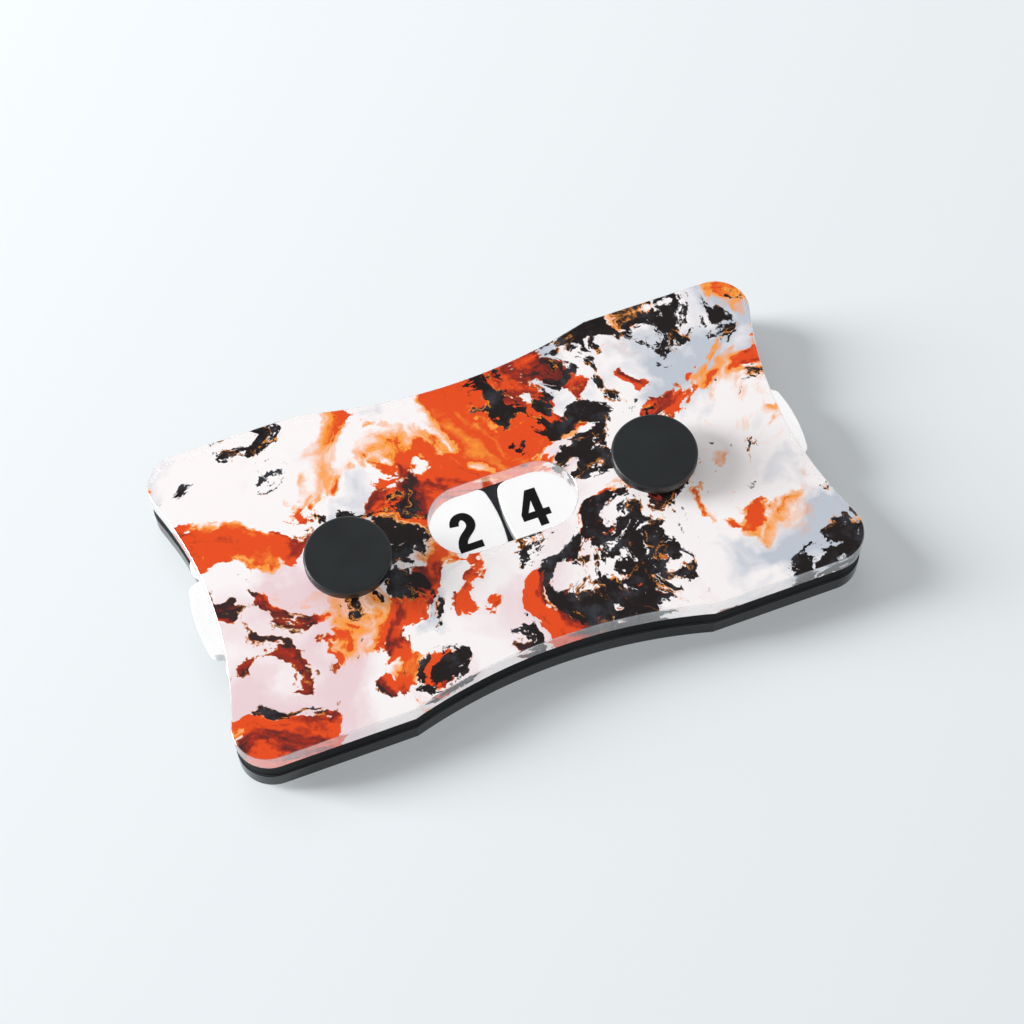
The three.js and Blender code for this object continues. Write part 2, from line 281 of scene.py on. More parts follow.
class Graph:
    """A tree of shader nodes, and the methods that add nodes to it."""

    def __init__(self, tree):
        self.tree = tree

    def join(self, value, socket):
        if isinstance(value, Link):
            self.tree.links.new(value.socket, socket)
        elif socket.type == "RGBA":
            socket.default_value = (*value, 1)
        else:
            socket.default_value = value

    def add(self, kind, settings, sockets, output=0):
        """Adds a node: its settings first, a ramp's stops among them, then its sockets."""
        node = self.tree.nodes.new(kind)
        for key, value in settings.items():
            if key == "stops":
                self.set_stops(node.color_ramp, value)
            else:
                setattr(node, key, value)
        for key, value in sockets.items():
            self.join(value, node.inputs[key])
        return Link(self, node.outputs[output]) if node.outputs else None

    @staticmethod
    def set_stops(ramp, stops):
        while len(ramp.elements) < len(stops):
            ramp.elements.new(1)
        for element, (position, rgb) in zip(ramp.elements, stops):
            element.position = position
            element.color = (*rgb, 1)

    def scaled(self, vector, factor, offset=(0, 0, 0)):
        settings = {"operation": "MULTIPLY_ADD"}
        factors = factor if isinstance(factor, tuple) else (factor,) * 3
        return self.add("ShaderNodeVectorMath", settings, {0: vector, 1: factors, 2: offset})

    def centred(self, vector, size):
        """Moves a vector with parts from 0 to 1 to lie round zero, and scales it to a size."""
        return self.scaled(vector, size, (-size / 2,) * 3)

    def summed(self, one, other):
        return self.add("ShaderNodeVectorMath", {"operation": "ADD"}, {0: one, 1: other})

    def noise(self, vector, scale, detail=2.0, roughness=0.5, output="Fac"):
        sockets = {"Vector": vector, "Scale": scale, "Detail": detail, "Roughness": roughness}
        return self.add("ShaderNodeTexNoise", {}, sockets, output)

    def moved_noise(self, vector, factor, offset, detail=2.0, roughness=0.5):
        """Noise that has a size and a place of its own along a shared vector."""
        return self.noise(self.scaled(vector, factor, offset), 1, detail, roughness)

    def mixed(self, factor, one, other):
        """Colour one where the factor is 0, and the other where it is 1."""
        sockets = {0: factor, MIX_A: one, MIX_B: other}
        return self.add("ShaderNodeMix", {"data_type": "RGBA"}, sockets, MIX_COLOUR)

    def ramp(self, value, *stops):
        return self.add("ShaderNodeValToRGB", {"stops": stops}, {"Fac": value})


def spaced(sockets):
    """Sockets by their names in Blender, from names with _ for a space."""
    return {name.replace("_", " "): value for name, value in sockets.items()}


def toned(rgb, factor, lift=0.0):
    """A lighter or darker tone of a colour, for a finish that is slightly uneven."""
    return tuple(factor * part + lift for part in rgb)


class Finish(Graph):
    """One material with a Principled shader."""

    def __init__(self, name, **constants):
        self.material = bpy.data.materials.new(name)
        self.material.use_nodes = True
        super().__init__(self.material.node_tree)
        self.shader = next(n for n in self.tree.nodes if n.type == "BSDF_PRINCIPLED")
        self.set(**constants)

    def set(self, **sockets):
        """Sets or links the shader's own sockets, named with _ for a space."""
        for name, value in spaced(sockets).items():
            self.join(value, self.shader.inputs[name])

    def place(self):
        """The piece's own coordinates, in metres, which turn with it."""
        return self.add("ShaderNodeTexCoord", {}, {}, "Object")

    def marks(self, place, across, along):
        """Fine upright marks of a cut, from how many a metre there are across and along."""
        factors = (across, across, along)
        return self.moved_noise(place, factors, (0, 0, 0), detail=3, roughness=0.6)

    def veil(self, amount, **sockets):
        """Lays a second shader over the first, by an amount between 0 and 1."""
        over = self.add("ShaderNodeBsdfPrincipled", {}, spaced(sockets))
        under = Link(self, self.shader.outputs[0])
        both = self.add("ShaderNodeMixShader", {}, {0: amount, 1: under, 2: over})
        output = next(n for n in self.tree.nodes if n.type == "OUTPUT_MATERIAL")
        self.join(both, output.inputs["Surface"])

    def bump(self, height, depth, strength=1.0):
        """Feeds the shader's Normal from a height between 0 and 1, over a depth in metres."""
        sockets = {"Height": height, "Distance": depth, "Strength": strength}
        self.set(Normal=self.add("ShaderNodeBump", {}, sockets))


def print_finish(look):
    """Marbled print: pale clouds, orange flows and charcoal islands with bright veins."""
    finish = Finish("marbled_print", Specular_IOR_Level=0.1, IOR=ACRYLIC_IOR)
    place = finish.scaled(finish.place(), 1 / look.flow)
    broad = finish.noise(place, scale=0.8, output="Color")
    fine = finish.noise(place, scale=3.0, detail=4, roughness=0.6, output="Color")
    swirl = finish.centred(broad, look.swirl)
    ripple = finish.centred(fine, look.ripple)
    bent = finish.summed(finish.summed(place, swirl), ripple)

    cloud = finish.moved_noise(bent, 0.8, look.cloud_seed, detail=4)
    ground = finish.ramp(
        cloud, (0.34, look.mist), (0.43, look.paper), (0.53, look.paper), (0.68, look.blush)
    )
    tone = finish.noise(bent, scale=3.5, detail=6, roughness=0.6)
    broad_tone = finish.moved_noise(bent, 1.3, look.tone_seed, detail=4, roughness=0.55)
    ember = finish.ramp(
        0.6 * broad_tone + 0.4 * tone,
        (0.4, look.smoke),
        (0.45, look.rust),
        (0.49, look.orange),
        (0.57, look.orange),
        (0.66, look.glow),
    )
    heat = finish.moved_noise(bent, 0.95, look.heat_seed, detail=8, roughness=0.55)
    shore = look.ember_level
    crisp = 0.006
    reach = 0.004 + 0.1 * broad_tone.between(0.48, 0.62)
    halo = finish.mixed(heat.between(shore - reach, shore), ground, look.glow)
    flows = finish.mixed(heat.between(shore - crisp, shore + crisp), halo, ember)

    shade = finish.moved_noise(bent, 1.05, look.stone_seed, detail=11, roughness=0.64)
    grit = finish.noise(place, scale=5, detail=7, roughness=0.65)
    stone = finish.ramp(grit, (0.5, look.charcoal), (0.72, look.slate))
    coast = look.stone_level
    islands = finish.mixed(shade.between(coast, coast + crisp), flows, stone)
    ridge = abs(finish.noise(bent, scale=1.6, detail=7, roughness=0.6) - 0.5)
    near_coast = shade.between(coast - 0.02, coast + 0.01) * shade.between(coast + 0.04, coast)
    veins = ridge.between(0.009, 0.004) * near_coast
    finish.set(Base_Color=finish.mixed(veins, islands, look.glow))
    finish.set(Roughness=0.3 + 0.12 * tone)
    return finish.material


def clear_face_finish():
    """Polished clear sheet, with a very faint film on it."""
    finish = Finish(
        "clear_polished_face", Transmission_Weight=1.0, IOR=ACRYLIC_IOR, Specular_IOR_Level=0.2
    )
    film = finish.noise(finish.place(), scale=90, detail=3)
    finish.set(Base_Color=(0.97, 0.985, 0.99), Roughness=0.02 + 0.02 * film)
    return finish.material


def cut_edge_finish(sheets):
    """Laser-cut edge of the clear sheet: clear from inside, and partly a mirror outside."""
    finish = Finish("clear_cut_edge", IOR=ACRYLIC_IOR, Transmission_Weight=1.0)
    place = finish.place()
    marks = finish.marks(place, across=2600, along=120)
    cloud = finish.noise(place, scale=260, detail=3)
    finish.set(Base_Color=(0.93, 0.95, 0.96), Roughness=0.03 + 0.05 * cloud)
    inside = finish.add("ShaderNodeNewGeometry", {}, {}, "Backfacing")
    tint = finish.mixed(cloud, sheets.mirror_colour, WHITE)
    streaks = sheets.edge_mirror * (0.6 + 0.8 * marks)
    finish.veil(streaks * (1 - inside), Base_Color=tint, Metallic=1.0, Roughness=0.2)
    return finish.material


def black_sheet_finish(name, rgb, roughness, level):
    """Black sheet with faint smears, and fine upright marks along its cut edge."""
    finish = Finish(name, IOR=ACRYLIC_IOR, Specular_IOR_Level=level)
    place = finish.place()
    marks = finish.marks(place, across=2200, along=110)
    smear = finish.noise(place, scale=120, detail=4, roughness=0.6)
    lighter = toned(rgb, 1.8, lift=0.002)
    finish.set(
        Base_Color=finish.mixed(smear.between(0.35, 0.75), rgb, lighter),
        Roughness=roughness + 0.1 * smear,
    )
    finish.bump(marks, depth=0.008 * MM)
    return finish.material


def dial_finish(dials):
    """Satin white sheet with a very slight mottle."""
    finish = Finish("white_sheet", IOR=ACRYLIC_IOR)
    place = finish.place()
    mottle = finish.noise(place, scale=160, detail=4, roughness=0.6)
    marks = finish.marks(place, across=2400, along=150)
    greyer = toned(dials.white, 0.97)
    finish.set(
        Base_Color=finish.mixed(mottle.between(0.3, 0.75), dials.white, greyer),
        Roughness=0.3 + 0.14 * mottle,
    )
    finish.bump(marks, depth=0.004 * MM)
    return finish.material


def ink_finish(dials):
    """Printed ink, slightly uneven in depth and gloss."""
    finish = Finish("digit_ink", Specular_IOR_Level=0.1)
    cover = finish.noise(finish.place(), scale=900, detail=4, roughness=0.6)
    thin = toned(dials.ink, 1.6, lift=0.001)
    finish.set(
        Base_Color=finish.mixed(cover.between(0.45, 0.85), dials.ink, thin),
        Roughness=0.35 + 0.2 * cover,
    )
    return finish.material


def moulded_finish(name, rgb, grain, level):
    """Moulded plastic: a fine matte grain and a faint change of tone."""
    finish = Finish(name, Specular_IOR_Level=level)
    place = finish.place()
    pits = finish.noise(place, scale=1 / grain, detail=3, roughness=0.6)
    tone = finish.noise(place, scale=200, detail=3)
    worn = toned(rgb, 1.35)
    finish.set(
        Base_Color=finish.mixed(tone.between(0.3, 0.7), rgb, worn),
        Roughness=0.32 + 0.14 * pits,
    )
    finish.bump(pits, depth=0.006 * MM)
    return finish.material


# Meshes


def new_object(name, data):
    """Adds an object with this mesh, camera or light to the scene."""
    item = bpy.data.objects.new(name, data)
    bpy.context.scene.collection.objects.link(item)
    return item


def mesh_data(name, mesh):
    """Turns a bmesh into a mesh, and frees the bmesh."""
    data = bpy.data.meshes.new(name)
    mesh.to_mesh(data)
    mesh.free()
    return data


def round_node(node):
    """A round node's place along X, its radius, and its lowest and highest level."""
    low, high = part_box(node)
    return (low.x + high.x) / 2, (high.x - low.x) / 2, low.z, high.z


def top_outlines(node):
    """Closed outlines of a flat node's upper face, with the sheet on the left of each."""
    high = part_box(node)[1].z
    mesh = bmesh.new()
    mesh.from_mesh(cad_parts[node].data)
    bmesh.ops.remove_doubles(mesh, verts=mesh.verts, dist=WELD)
    top = [f for f in mesh.faces if min(v.co.z for v in f.verts) > high - WELD]
    inside = set(top)
    after = {}
    for face in top:
        for loop in face.loops:
            if not any(f in inside for f in loop.edge.link_faces if f != face):
                after[loop.vert] = loop.link_loop_next.vert
    outlines = []
    while after:
        vert = next(iter(after))
        outline = []
        while vert in after:
            outline.append(vert.co.xy.copy())
            vert = after.pop(vert)
        outlines.append(outline)
    mesh.free()
    return outlines


def left_of(direction):
    """A direction after a quarter turn to the left."""
    return Vector((-direction.y, direction.x))


def mitres(outline):
    """For each corner of a closed outline, the shift that moves it 1 to the left."""
    shifts = []
    for i, point in enumerate(outline):
        before = left_of((point - outline[i - 1]).normalized())
        behind = left_of((outline[(i + 1) % len(outline)] - point).normalized())
        shifts.append((before + behind) / (1 + before.dot(behind)))
    return shifts


def eased_profile(low, high, radius, foot_radius, steps=4):
    """Inset and height up the eased edge of a sheet, from its underside to its top."""
    turns = [math.pi / 2 * i / steps for i in range(steps + 1)]
    curve = [(1 - math.sin(a), 1 - math.cos(a)) for a in turns]
    lower = [(foot_radius * inset, low + foot_radius * rise) for inset, rise in curve]
    upper = [(radius * inset, high - radius * rise) for inset, rise in reversed(curve)]
    return lower + upper


def new_piece(name, mesh, materials, cutter=None):
    """Turns a bmesh into an object with smooth, area-weighted shading, after taking
    the cutter's volume out of it."""
    bmesh.ops.recalc_face_normals(mesh, faces=mesh.faces)
    for face in mesh.faces:
        face.smooth = True
    data = mesh_data(name, mesh)
    for material in materials:
        data.materials.append(material)
    piece = new_object(name, data)
    if cutter:
        piece.modifiers.new("cut", "BOOLEAN").object = cutter
        evaluated = piece.evaluated_get(bpy.context.evaluated_depsgraph_get())
        piece.data = bpy.data.meshes.new_from_object(evaluated)
        piece.modifiers.clear()
        bpy.data.objects.remove(cutter)
    shading = piece.modifiers.new("even_shading", "WEIGHTED_NORMAL")
    shading.keep_sharp = True
    return piece


def eased_sheet(name, outlines, low, high, radius, materials, foot_radius=None):
    """A flat sheet between two levels, with eased edges, and its face's and edge's
    materials. The lower edges have a radius of their own where one is given. Corners
    between two long straight stretches stay crisp."""
    mesh = bmesh.new()
    profile = eased_profile(low, high, radius, radius if foot_radius is None else foot_radius)
    rims = ([], [])
    for outline in outlines:
        shifts = mitres(outline)
        rings = []
        for inset, z in profile:
            points = (p + inset * s for p, s in zip(outline, shifts))
            rings.append([mesh.verts.new((*p, z)) for p in points])
        for lower, upper in zip(rings, rings[1:]):
            for i in range(len(outline)):
                j = (i + 1) % len(outline)
                wall = mesh.faces.new((lower[i], lower[j], upper[j], upper[i]))
                wall.material_index = 1
        for i, point in enumerate(outline):
            if is_crisp(outline[i - 1], point, outline[(i + 1) % len(outline)]):
                for lower, upper in zip(rings, rings[1:]):
                    mesh.edges.get((lower[i], upper[i])).smooth = False
        rims[0].append(rings[0])
        rims[1].append(rings[-1])
    for rim in rims:
        close_rim(mesh, rim)
    return new_piece(name, mesh, materials)


def is_crisp(before, point, behind, least_turn=math.radians(8), least_run=MM):
    """Says whether an outline turns clearly at a point between two long stretches."""
    runs = (point - before, behind - point)
    return runs[0].angle(runs[1]) > least_turn and min(r.length for r in runs) > least_run


def triangulated(outlines, wanted):
    """Corners and triangles of the areas that lie in as many outlines as wanted says."""
    corners, rings = [], []
    for outline in outlines:
        rings.append(list(range(len(corners), len(corners) + len(outline))))
        corners += outline
    points, _, faces, origins, _, owners = delaunay_2d_cdt(corners, [], rings, CDT_INSIDE, CDT_NEAR)
    triangles = [face for face, inputs in zip(faces, owners) if wanted(len(inputs))]
    return points, triangles, origins


def close_rim(mesh, rings):
    """Fills the flat area between an outer ring and the rings of its holes. Holes run the
    other way round, so what lies on the left of every ring is sheet."""
    verts = [v for ring in rings for v in ring]
    flat = [[v.co.xy for v in ring] for ring in rings]
    _, triangles, origins = triangulated(flat, lambda count: count == len(rings))
    for triangle in triangles:
        mesh.faces.new([verts[origins[i][0]] for i in triangle])


def turned(name, profile, steps, x, material, cutter=None):
    """A turned piece on an upright axis at x, from the radius and height of each ring.
    A radius of 0 is a point on the axis, and a ring's profile ends where it starts."""
    mesh = bmesh.new()
    rings = []
    for radius, z in profile:
        count = steps if radius else 1
        turns = (2 * math.pi * i / steps for i in range(count))
        rings.append(
            [mesh.verts.new((x + radius * math.cos(a), radius * math.sin(a), z)) for a in turns]
        )
    for one, other in zip(rings, rings[1:]):
        for i in range(steps):
            corners = [
                one[i % len(one)],
                one[(i + 1) % len(one)],
                other[(i + 1) % len(other)],
                other[i % len(other)],
            ]
            mesh.faces.new(list(dict.fromkeys(corners)))
    bmesh.ops.remove_doubles(mesh, verts=mesh.verts, dist=WELD)
    return new_piece(name, mesh, (material,), cutter)


def eased_corner(radius, z, ease, up, steps=6):
    """Rings of a rounded outer corner, from the flat's side round to the wall."""
    turns = (math.pi / 2 * i / steps for i in range(steps + 1))
    return [
        (radius - ease + ease * math.sin(a), z + up * ease * (math.cos(a) - 1)) for a in turns
    ]


def cross_cutter(x, width, reach, low, high):
    """An upright prism with a cross for its plan, centred on an axis at x."""
    mesh = bmesh.new()
    near = width / 2
    corner = [(reach, -near), (reach, near), (near, near)]
    plan = []
    for quarter in range(4):
        spin = Matrix.Rotation(math.pi / 2 * quarter, 2)
        plan += [spin @ Vector(p) for p in corner]
    foot = [mesh.verts.new((x + p.x, p.y, low)) for p in plan]
    face = mesh.faces.new(foot)
    grown = bmesh.ops.extrude_face_region(mesh, geom=[face])["geom"]
    verts = [v for v in grown if isinstance(v, bmesh.types.BMVert)]
    bmesh.ops.translate(mesh, verts=verts, vec=(0, 0, high - low))
    bmesh.ops.recalc_face_normals(mesh, faces=mesh.faces)
    return new_object("slot_cutter", mesh_data("slot_cutter", mesh))


# Digits, each in a cell with its origin at the lower left


def line(*points):
    return [Vector(p) for p in points]


def bow(x, y, wide, high, start, end, steps=18):
    """Points of an elliptic arc, with its angles in degrees."""
    turns = (math.radians(start + (end - start) * i / steps) for i in range(steps + 1))
    return [Vector((x + wide * math.cos(a), y + high * math.sin(a))) for a in turns]


def sweep(*controls, steps=14):
    """Points of a smooth curve from the first of four controls to the last."""
    a, b, c, d = line(*controls)
    points = []
    for i in range(steps + 1):
        t = i / steps
        s = 1 - t
        points.append(s * s * s * a + 3 * s * s * t * b + 3 * s * t * t * c + t * t * t * d)
    return points


def digit_strokes(digit, width, height, stem, bar):
    """Centre lines of a digit's strokes. Bows that meet run a few degrees past each other."""

    def at(across, up):
        """A point by its shares of the cell's width and height."""
        return across * width, up * height

    left, right, middle = stem / 2, width - stem / 2, width / 2
    foot, top = bar / 2, height - bar / 2
    span = middle - left
    arch = 1.2 * span
    waist = 0.53 * height
    upper = (top - waist) / 2
    lower = (waist - foot) / 2
    past = 5
    if digit == 0:
        head, base = top - arch, foot + arch
        return [
            bow(middle, base, span, arch, -90 - past, 0)
            + bow(middle, head, span, arch, 0, 90 + past),
            bow(middle, head, span, arch, 90 - past, 180)
            + bow(middle, base, span, arch, 180, 270 + past),
        ]
    if digit == 1:
        post = 0.66 * width
        return [line((post, 0), (post, height)), line((post, top), at(0.15, 0.75))]
    if digit == 2:
        hook = bow(middle, top - arch, span, arch, 176, 0)
        heel = 1.18 * left
        neck = sweep(
            (right, top - arch), (right, 0.44 * height), (heel, 0.46 * height), (heel, foot)
        )
        return [hook + neck[1:] + line((heel, 0)), line((heel - left, foot), (width, foot))]
    if digit == 3:
        pinch = line((0.36 * width, waist))
        return [
            bow(middle, top - upper, 0.96 * span, upper, 188, -90) + pinch,
            pinch + bow(middle, foot + lower, span, lower, 90, -188),
        ]
    if digit == 5:
        flag, neck, bowl = 0.13 * width, 0.08 * width, 0.29 * height
        return [
            line((flag, top), (0.94 * width, top)),
            line((flag + left, height), (neck + left, 0.42 * height)),
            bow(middle, foot + bowl, span, bowl, 150, -165),
        ]
    if digit in (6, 9):
        loop = 0.24 * height
        strokes = [
            line((left, foot + loop)) + bow(middle, top - arch, span, arch, 180, 10),
            bow(middle, foot + loop, span, loop, -past, 180 + past),
            bow(middle, foot + loop, span, loop, 180 - past, 360 + past),
        ]
        if digit == 6:
            return strokes
        return [[Vector((width, height)) - p for p in stroke] for stroke in strokes]
    if digit == 7:
        return [
            line((0, top), (width, top)),
            sweep((right, top), at(0.64, 0.68), at(0.42, 0.4), at(0.4, 0)),
        ]
    return [
        bow(middle, y, wide, high, start, end)
        for y, wide, high in ((top - upper, 0.93 * span, upper), (foot + lower, span, lower))
        for start, end in ((-90 - past, 90 + past), (90 - past, 270 + past))
    ]


def four_outlines(width, height, stem, bar):
    """A 4 from its post, its bar and the slope beside the post."""
    low = 0.23 * height
    high = low + bar
    back = 0.79 * width
    front = back - 0.92 * stem
    inner = 0.26 * width
    crook = 0.71 * height
    post = line((front, 0), (back, 0), (back, height), (front, height))
    beam = line((0, low), (width, low), (width, high), (0, high))
    slope = line(
        (0, low),
        (inner, low),
        (inner, high),
        (front, crook),
        (back, crook),
        (back, height),
        (0.42 * width, height),
        (0, high),
    )
    return [post, beam, slope]


def stroke_outline(points, stem, bar):
    """The outline of a stroke cut square at both ends, thicker where it runs upright."""
    points = [p for p, q in zip(points, [None, *points]) if q is None or (p - q).length > WELD]
    lefts, rights = [], []
    last = len(points) - 1
    for i, point in enumerate(points):
        before = (point - points[i - 1]).normalized() if i else None
        behind = (points[i + 1] - point).normalized() if i < last else None
        one, other = before or behind, behind or before
        course = (one + other).normalized()
        shift = left_of(one + other) / (1 + one.dot(other))
        half = (bar + (stem - bar) * abs(course.y)) / 2
        lefts.append(point + half * shift)
        rights.append(point - half * shift)
    return rights + lefts[::-1]


def digit_faces(digit, look):
    """Centred corners and the triangles of a digit, with overlapping strokes joined."""
    width = look.digit_width * {2: look.two_share, 4: look.four_share}.get(digit, 1)
    size = (width, look.digit_height, look.stem, look.bar)
    if digit == 4:
        outlines = four_outlines(*size)
    else:
        outlines = [stroke_outline(s, look.stem, look.bar) for s in digit_strokes(digit, *size)]
    corners, triangles, _ = triangulated(outlines, lambda count: count > 0)
    middle = Vector((width, look.digit_height)) / 2
    return [corner - middle for corner in corners], triangles


def add_digit(mesh, digit, look, turn, ring, facing):
    """Adds one raised digit to a mesh centred on its dial. It stands at an angle round
    the dial, and facing is 0 where its right side points outwards, or half a turn."""
    corners, triangles = digit_faces(digit, look)
    out = Vector((math.cos(turn), math.sin(turn))) * ring
    spin = turn + facing
    right = Vector((math.cos(spin), math.sin(spin)))
    placed = [out + p.x * right + p.y * left_of(right) for p in corners]
    used = sorted({i for triangle in triangles for i in triangle})
    tops = {i: mesh.verts.new((*placed[i], look.ink_thick)) for i in used}
    feet = {i: mesh.verts.new((*placed[i], -look.ink_thick)) for i in used}
    sides = {(t[k], t[(k + 1) % 3]) for t in triangles for k in range(3)}
    for triangle in triangles:
        mesh.faces.new([tops[i] for i in triangle])
        mesh.faces.new([feet[i] for i in reversed(triangle)])
    for a, b in sorted(sides):
        if (b, a) not in sides:
            mesh.faces.new((feet[a], feet[b], tops[b], tops[a]))
            for rim in (tops, feet):
                mesh.edges.get((rim[a], rim[b])).smooth = False


# Operators


class PieceOperator:
    """What the operators share."""

    bl_options = {"REGISTER", "UNDO"}

    @property
    def look(self):
        return bpy.context.scene.life_counter

    @staticmethod
    def attach(piece, body, slot, *nodes):
        """Puts a piece on its body. The soft fill light passes through every piece, so
        only a lamp can throw its shadow."""
        piece.visible_diffuse = False
        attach(piece, body)
        if nodes:
            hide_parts(*nodes)


class COUNTER_OT_face(PieceOperator, bpy.types.Operator):
    """Build the clear face plate and the printed layer under it"""

    bl_idname = "counter.face"
    bl_label = "Face plate and print"

    def execute(self, context):
        look = self.look
        low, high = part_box("face_plate")
        outlines = top_outlines("face_plate")
        film_top = low.z + look.face_print.thick
        # The plate starts half-way up the printed layer, so that no gap shows between them
        plate = eased_sheet(
            "clear_face_plate",
            outlines,
            (low.z + film_top) / 2,
            high.z,
            look.sheets.face_round,
            (clear_face_finish(), cut_edge_finish(look.sheets)),
            look.sheets.foot_round,
        )
        # The clear plate and its print don't shade the dials in the window
        plate.visible_shadow = False
        self.attach(plate, "case", "clear_acrylic", "face_plate")
        ink = print_finish(look.face_print)
        film_outlines = [
            [p + look.face_print.margin * s for p, s in zip(outline, mitres(outline))]
            for outline in outlines
        ]
        film = eased_sheet(
            "printed_layer", film_outlines, low.z, film_top, look.face_print.edge_round, (ink, ink)
        )
        film.visible_shadow = False
        self.attach(film, "case", "clear_acrylic")
        return {"FINISHED"}


class COUNTER_OT_black_sheets(PieceOperator, bpy.types.Operator):
    """Build the two halves of the middle layer and the back plate"""

    bl_idname = "counter.black_sheets"
    bl_label = "Black sheets"

    def execute(self, context):
        sheets = self.look.sheets
        # The faces' lighter colour is painted light, which brightens the shaded gap between the
        # dials
        painted_light_face = black_sheet_finish(
            "matt_black_face_painted_light", sheets.painted_light_face_colour, roughness=0.5, level=0.2
        )
        back_edge = black_sheet_finish(
            "glossy_black_edge", sheets.back_colour, roughness=0.12, level=0.25
        )
        middle = black_sheet_finish(
            "dull_black_sheet", sheets.middle_colour, roughness=0.42, level=0.06
        )
        for name, node, face, edge in (
            ("back_sheet", "back_plate", painted_light_face, back_edge),
            ("rear_middle_sheet", "rear_spacer", middle, middle),
            ("front_middle_sheet", "front_spacer", middle, middle),
        ):
            low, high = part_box(node)
            outlines = top_outlines(node)
            piece = eased_sheet(name, outlines, low.z, high.z, sheets.black_round, (face, edge))
            self.attach(piece, "case", "black_acrylic", node)
        return {"FINISHED"}


class COUNTER_OT_dials(PieceOperator, bpy.types.Operator):
    """Build the two white dials with ten digits on each"""

    bl_idname = "counter.dials"
    bl_label = "Dials and digits"

    def execute(self, context):
        look = self.look.dials
        white = dial_finish(look)
        ink = ink_finish(look)
        for side in SIDES:
            node = f"{side}_dial"
            low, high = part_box(node)
            body = f"{side}_number"
            outlines = top_outlines(node)
            dial = eased_sheet(
                f"{side}_white_dial", outlines, low.z, high.z, look.edge_round, (white, white)
            )
            self.attach(dial, body, "white_acrylic", node)
            digits = self.digits(side, look, ink)
            centre = Vector(((low.x + high.x) / 2, (low.y + high.y) / 2, high.z))
            digits.data.transform(Matrix.Translation(centre))
            self.attach(digits, body, None)
        return {"FINISHED"}

    @staticmethod
    def digits(side, look, ink):
        """All the digits of a dial. The left dial shows 2 at its right and the right
        dial 4 at its left, each upright there."""
        mesh = bmesh.new()
        shown, start, facing, ring = {
            "left": (2, 0.0, 0.0, look.left_ring),
            "right": (4, math.pi + look.right_turn, math.pi, look.right_ring),
        }[side]
        for digit in range(DIGITS):
            turn = start + (digit - shown) * math.tau / DIGITS
            add_digit(mesh, digit, look, turn, ring, facing)
        return new_piece(f"{side}_dial_digits", mesh, (ink,))


class COUNTER_OT_rivets(PieceOperator, bpy.types.Operator):
    """Build both snap rivets, cap and plug, and finish the washers"""

    bl_idname = "counter.rivets"
    bl_label = "Rivets and washers"

    def execute(self, context):
        look = self.look.rivets
        dark = moulded_finish("dark_nylon", look.dark, look.grain, level=0.5)
        pale = moulded_finish("pale_nylon", look.pale, look.grain, level=0.4)
        for side in SIDES:
            self.cap(side, look, dark)
            self.plug(side, look, dark)
            for level in ("lower", "upper"):
                self.washer(f"{side}_{level}", look, pale)
        return {"FINISHED"}

    def cap(self, side, look, material):
        """A rivet's upper half: a head over a barrel with a narrow mouth and a wider bore."""
        node = f"{side}_rivet_cap"
        x, head, mouth, crown = round_node(node)
        seat = crown - look.head_thick
        catch_top = mouth + look.catch_length
        bore_top = catch_top + look.bore_length
        profile = [
            (0, crown),
            *eased_corner(head, crown, look.head_round, 1),
            *reversed(eased_corner(head, seat, look.seat_round, -1)),
            (look.barrel, seat),
            (look.barrel, mouth + look.chamfer),
            (look.barrel - look.chamfer, mouth),
            (look.catch + look.chamfer, mouth),
            (look.catch, mouth + look.chamfer),
            (look.catch, catch_top - look.catch_ramp),
            (look.bore, catch_top),
            (look.bore, bore_top),
            (0, bore_top),
        ]
        piece = turned(f"{side}_cap", profile, look.turn_steps, x, material)
        self.attach(piece, "case", "dark_nylon", node)

    def plug(self, side, look, material):
        """A rivet's lower half: a head with a shank, slotted into four barbed prongs."""
        node = f"{side}_rivet_plug"
        x, head, base, _ = round_node(node)
        tip = look.barb_foot + look.barb_length
        profile = [
            (0, base),
            *eased_corner(head, base, look.head_round, -1),
            *reversed(eased_corner(head, look.head_thick, look.seat_round, 1)),
            (look.shank, look.head_thick),
            (look.shank, look.barb_foot),
            (look.barb, look.barb_foot),
            (look.barb, look.barb_foot + look.barb_flat),
            (look.barb - look.barb_taper, tip),
            (0, tip),
        ]
        foot = look.head_thick + look.slot_foot
        slot = cross_cutter(x, look.slot_width, 2 * look.barb, foot, 2 * tip)
        piece = turned(f"{side}_plug", profile, look.turn_steps, x, material, slot)
        self.attach(piece, "case", "dark_nylon", node)

    def washer(self, name, look, material):
        node = f"{name}_washer"
        x, rim, low, high = round_node(node)
        profile = [
            (look.washer_bore, low),
            *eased_corner(rim, low, look.washer_round, -1),
            *reversed(eased_corner(rim, high, look.washer_round, 1)),
            (look.washer_bore, high),
            (look.washer_bore, low),
        ]
        piece = turned(f"{name}_ring", profile, look.turn_steps, x, material)
        self.attach(piece, "case", "natural_nylon", node)


